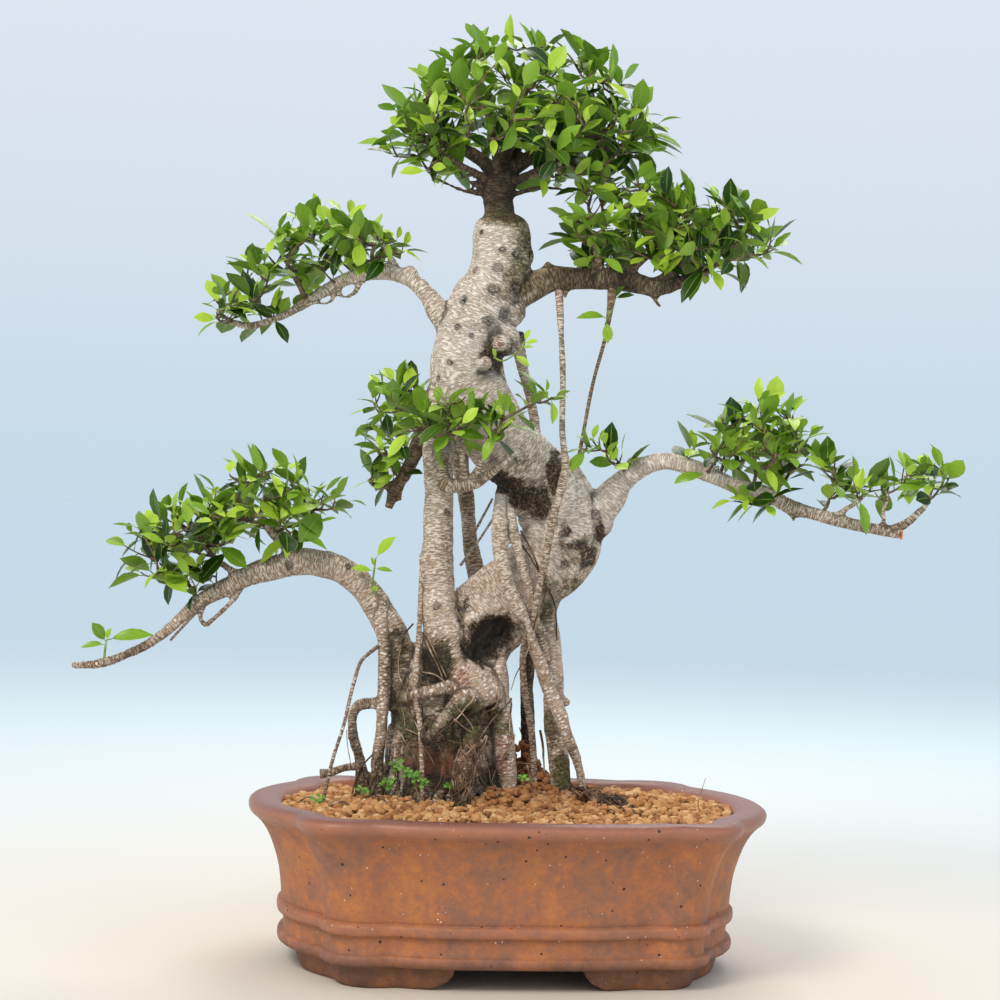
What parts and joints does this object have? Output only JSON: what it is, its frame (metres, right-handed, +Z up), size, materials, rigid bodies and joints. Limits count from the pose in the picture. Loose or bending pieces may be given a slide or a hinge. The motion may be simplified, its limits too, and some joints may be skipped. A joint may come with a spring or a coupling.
{
  "type": "ficus bonsai",
  "caption": "Large ficus bonsai in banyan style with aerial roots and five leafy pads, planted in a lobed, footed, unglazed oval pot",
  "frame": {"origin": "on the standing surface, below the middle of the whole outline", "axes": "+X along the pot's long side towards the tree's right, +Y to the back, +Z up"},
  "size_m": [0.7586, 0.33, 0.8113],
  "materials": {
    "stoneware": "unglazed rust-brown stoneware, mottled, with a smoother purplish rim",
    "plastic_net": "black drain net",
    "substrate": "burnt clay grains, ochre to reddish brown",
    "bark": "grey-tan bark with pale cross flecks",
    "foliage": "glossy green leaves on thin brown shoots",
    "herb": "small bright green round leaflets"
  },
  "bodies": {
    "root": {"pot": "stoneware", "drain_net_left": "plastic_net", "drain_net_right": "plastic_net", "soil": "substrate", "wood": "bark", "crown_top": "foliage", "crown_front": "foliage", "crown_back": "foliage", "crown_left": "foliage", "crown_right": "foliage", "upper_right_inner": "foliage", "upper_right_middle": "foliage", "upper_right_outer": "foliage", "upper_left_inner": "foliage", "upper_left_middle": "foliage", "upper_left_outer": "foliage", "lower_left_inner": "foliage", "lower_left_middle": "foliage", "lower_left_outer": "foliage", "lower_left_tip": "foliage", "back_upper": "foliage", "back_lower": "foliage", "front_left": "foliage", "front_middle": "foliage", "front_right": "foliage", "lower_right_inner": "foliage", "lower_right_middle": "foliage", "lower_right_outer": "foliage", "lower_right_tip": "foliage", "elbow_shoot": "foliage", "limb_shoot": "foliage", "bend_shoot": "foliage", "burl_shoot": "foliage", "herb_front": "herb", "herb_left": "herb"}
  },
  "joints": []
}
